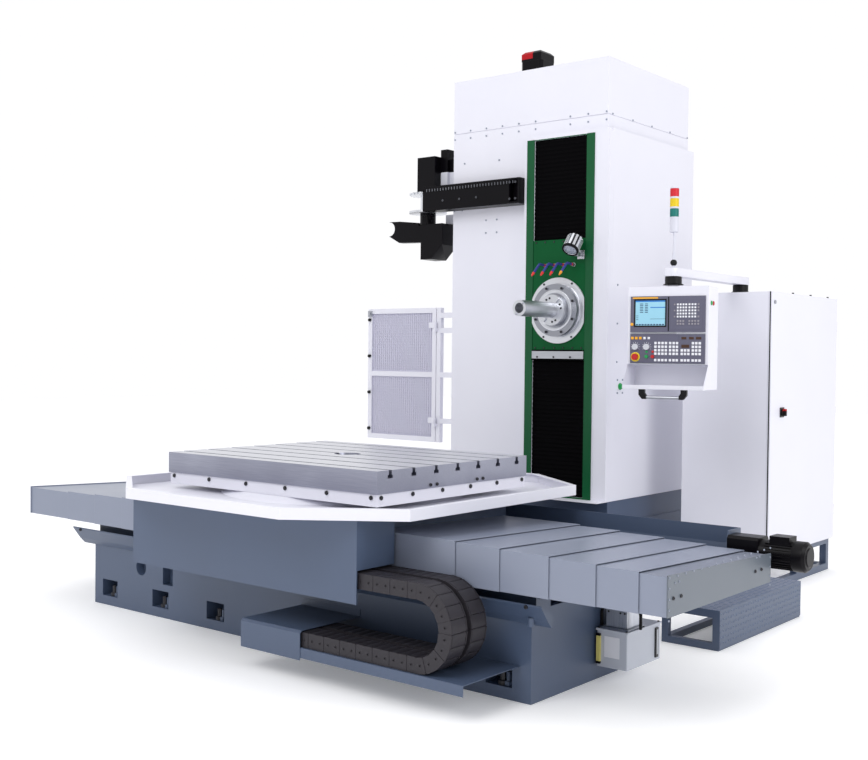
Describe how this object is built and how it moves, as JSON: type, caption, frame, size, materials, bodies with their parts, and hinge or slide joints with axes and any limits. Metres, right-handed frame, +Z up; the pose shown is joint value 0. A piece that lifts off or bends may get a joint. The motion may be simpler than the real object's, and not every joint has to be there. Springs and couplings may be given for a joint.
{
  "type": "horizontal boring and milling machine",
  "caption": "Travelling-column horizontal boring mill with a sliding rotary table, telescopic way covers, a drag chain, a tool changer, a cabinet and a swinging pendant.",
  "frame": {"origin": "on the floor, where the spindle's upright plane crosses the front bed's centre line", "axes": "+X along the front bed, +Y from the front bed towards the column, +Z up"},
  "size_m": [4.786, 5.081, 3.856],
  "materials": {
    "bed_paint": "semi-gloss grey-blue paint",
    "white_paint": "semi-gloss white paint",
    "green_paint": "semi-gloss green paint",
    "black_paint": "semi-gloss black paint",
    "tank_paint": "semi-gloss light grey paint",
    "cover_grey": "satin grey paint on sheet",
    "machined_iron": "ground and machined",
    "bright_steel": "ground",
    "dark_steel": "worn",
    "chain_plastic": "moulded, dull",
    "apron_black": "folded coated fabric",
    "hose_blue": "moulded",
    "tower_plastic": "moulded lenses",
    "gate_white": "painted tube and mesh",
    "switch_black": "moulded",
    "button_green": "moulded",
    "button_red": "moulded"
  },
  "bodies": {
    "machine": {"front_bed": "bed_paint", "coolant_gutter": "bed_paint", "chip_trough": "bed_paint", "auger_gearmotor": "black_paint", "chain_tray": "bed_paint", "rear_bed": "bed_paint", "electrical_cabinet": "white_paint", "cabinet_base": "bed_paint", "step_platform": "bed_paint", "lubrication_unit": "tank_paint", "chain_lower_run": "chain_plastic", "way_cover_right_6": "cover_grey", "way_cover_left_5": "cover_grey", "cover_rails": "bed_paint"},
    "saddle": {"saddle": "bed_paint", "saddle_front_cover": "bed_paint", "chip_tray": "white_paint", "way_cover_right_1": "cover_grey", "way_cover_left_1": "cover_grey", "chain_upper_run": "chain_plastic"},
    "rotary_table": {"table_top": "machined_iron", "table_skirt": "white_paint"},
    "chain_bend": {"chain_bend": "chain_plastic"},
    "chip_auger": {"chip_auger": "dark_steel"},
    "column": {"column_base": "bed_paint", "column_housing": "white_paint", "spindle_surround": "white_paint", "upper_apron": "apron_black", "lower_apron": "apron_black", "head_drive_motor": "black_paint", "magazine_frame": "black_paint", "changer_drive": "black_paint", "gate_frame": "white_paint"},
    "magazine_sprocket": {"magazine_sprocket": "bright_steel"},
    "changer_head": {"changer_head": "black_paint"},
    "changer_gripper": {"changer_gripper": "black_paint"},
    "gate_leaf": {"gate_leaf": "gate_white"},
    "headstock": {"headstock": "green_paint", "spindle_flange": "bright_steel", "coolant_hoses": "hose_blue", "work_light": "bright_steel"},
    "milling_spindle": {"milling_spindle": "bright_steel"},
    "boring_spindle": {"boring_spindle": "bright_steel"},
    "cabinet_door": {"cabinet_door": "white_paint"},
    "main_switch": {"main_switch": "switch_black"},
    "swing_arm": {"swing_arm": "white_paint", "signal_tower": "tower_plastic"},
    "pendant": {"pendant": "white_paint"},
    "feed_knob": {"feed_knob": "switch_black"},
    "speed_knob": {"speed_knob": "switch_black"},
    "start_button": {"start_button": "button_green"},
    "stop_button": {"stop_button": "button_red"},
    "emergency_stop": {"emergency_stop": "button_red"},
    "way_cover_right_2": {"way_cover_right_2": "cover_grey"},
    "way_cover_right_3": {"way_cover_right_3": "cover_grey"},
    "way_cover_right_4": {"way_cover_right_4": "cover_grey"},
    "way_cover_right_5": {"way_cover_right_5": "cover_grey"},
    "way_cover_left_2": {"way_cover_left_2": "cover_grey"},
    "way_cover_left_3": {"way_cover_left_3": "cover_grey"},
    "way_cover_left_4": {"way_cover_left_4": "cover_grey"}
  },
  "joints": [
    {"name": "table_traverse", "type": "slide", "parent": "machine", "child": "saddle", "axis": [1, 0, 0], "range_m": [-0.848, 0.752]},
    {"name": "table_rotation", "type": "hinge", "parent": "saddle", "child": "rotary_table", "pos_m": [0.048, 0, 0.89], "axis": [0, 0, 1], "continuous": true},
    {"name": "column_infeed", "type": "slide", "parent": "machine", "child": "column", "axis": [0, -1, 0], "range_m": [0, 1.1]},
    {"name": "headstock_travel", "type": "slide", "parent": "column", "child": "headstock", "axis": [0, 0, 1], "range_m": [-0.77, 0.55], "deforming": ["upper_apron", "lower_apron"]},
    {"name": "milling_spindle_turn", "type": "hinge", "parent": "headstock", "child": "milling_spindle", "pos_m": [0, 2.2, 1.922], "axis": [0, -1, 0], "continuous": true},
    {"name": "boring_spindle_feed", "type": "slide", "parent": "milling_spindle", "child": "boring_spindle", "axis": [0, -1, 0], "range_m": [0, 0.48]},
    {"name": "chip_auger_turn", "type": "hinge", "parent": "machine", "child": "chip_auger", "pos_m": [0, 0.64, 0.56], "axis": [1, 0, 0], "continuous": true},
    {"name": "chain_follow", "type": "slide", "parent": "machine", "child": "chain_bend", "axis": [1, 0, 0], "range_m": [-0.425, 0.377], "deforming": ["chain_lower_run", "chain_upper_run"]},
    {"name": "magazine_turn", "type": "hinge", "parent": "column", "child": "magazine_sprocket", "pos_m": [-1.288, 2.322, 2.78], "axis": [0, 0, 1], "continuous": true},
    {"name": "changer_swing", "type": "hinge", "parent": "column", "child": "changer_head", "pos_m": [-1.288, 2.322, 2.6], "axis": [0, 0, 1], "range_deg": [0, 90]},
    {"name": "gripper_reach", "type": "slide", "parent": "changer_head", "child": "changer_gripper", "axis": [-1, 0, 0], "range_m": [0, 0.12]},
    {"name": "gate_hinge", "type": "hinge", "parent": "column", "child": "gate_leaf", "pos_m": [-1.243, 2.368, 1.4], "axis": [0, 0, 1], "range_deg": [0, 100]},
    {"name": "cabinet_door_hinge", "type": "hinge", "parent": "machine", "child": "cabinet_door", "pos_m": [1.347, 3.998, 1.15], "axis": [0, 0, 1], "range_deg": [0, 110]},
    {"name": "main_switch_turn", "type": "hinge", "parent": "cabinet_door", "child": "main_switch", "pos_m": [1.37, 2.963, 1.225], "axis": [1, 0, 0], "range_deg": [-90, 0]},
    {"name": "arm_swing", "type": "hinge", "parent": "machine", "child": "swing_arm", "pos_m": [1.07, 2.906, 2.08], "axis": [0, 0, 1], "range_deg": [-15, 90]},
    {"name": "pendant_turn", "type": "hinge", "parent": "swing_arm", "child": "pendant", "pos_m": [1.07, 1.906, 2.07], "axis": [0, 0, 1], "range_deg": [-90, 90]},
    {"name": "feed_knob_turn", "type": "hinge", "parent": "pendant", "child": "feed_knob", "pos_m": [0.8871, 1.75698, 1.661], "axis": [0.1736, -0.9848, 0], "range_deg": [-135, 135]},
    {"name": "speed_knob_turn", "type": "hinge", "parent": "pendant", "child": "speed_knob", "pos_m": [0.95997, 1.76983, 1.661], "axis": [0.1736, -0.9848, 0], "range_deg": [-135, 135]},
    {"name": "start_press", "type": "slide", "parent": "pendant", "child": "start_button", "axis": [-0.1736, 0.9848, 0], "range_m": [0, 0.003], "stiffness_N_per_m": 1000, "springref_m": -0.001},
    {"name": "stop_press", "type": "slide", "parent": "pendant", "child": "stop_button", "axis": [-0.1736, 0.9848, 0], "range_m": [0, 0.003], "stiffness_N_per_m": 1000, "springref_m": -0.001},
    {"name": "emergency_press", "type": "slide", "parent": "pendant", "child": "emergency_stop", "axis": [-0.1736, 0.9848, 0], "range_m": [0, 0.003]},
    {"name": "way_cover_right_2_slide", "type": "slide", "parent": "machine", "child": "way_cover_right_2", "axis": [1, 0, 0], "range_m": [-0.6531, 0.5793]},
    {"name": "way_cover_right_3_slide", "type": "slide", "parent": "machine", "child": "way_cover_right_3", "axis": [1, 0, 0], "range_m": [-0.4479, 0.3973]},
    {"name": "way_cover_right_4_slide", "type": "slide", "parent": "machine", "child": "way_cover_right_4", "axis": [1, 0, 0], "range_m": [-0.2622, 0.2326]},
    {"name": "way_cover_right_5_slide", "type": "slide", "parent": "machine", "child": "way_cover_right_5", "axis": [1, 0, 0], "range_m": [-0.1028, 0.0912]},
    {"name": "way_cover_left_2_slide", "type": "slide", "parent": "machine", "child": "way_cover_left_2", "axis": [1, 0, 0], "range_m": [-0.6497, 0.5763]},
    {"name": "way_cover_left_3_slide", "type": "slide", "parent": "machine", "child": "way_cover_left_3", "axis": [1, 0, 0], "range_m": [-0.442, 0.392]},
    {"name": "way_cover_left_4_slide", "type": "slide", "parent": "machine", "child": "way_cover_left_4", "axis": [1, 0, 0], "range_m": [-0.2215, 0.1965]}
  ],
  "couplings": [
    {"joint": "chain_follow", "follows": "table_traverse", "ratio": 0.5},
    {"joint": "way_cover_right_2_slide", "follows": "table_traverse", "ratio": 0.769},
    {"joint": "way_cover_right_3_slide", "follows": "table_traverse", "ratio": 0.527},
    {"joint": "way_cover_right_4_slide", "follows": "table_traverse", "ratio": 0.308},
    {"joint": "way_cover_right_5_slide", "follows": "table_traverse", "ratio": 0.12},
    {"joint": "way_cover_left_2_slide", "follows": "table_traverse", "ratio": 0.765},
    {"joint": "way_cover_left_3_slide", "follows": "table_traverse", "ratio": 0.52},
    {"joint": "way_cover_left_4_slide", "follows": "table_traverse", "ratio": 0.26}
  ]
}
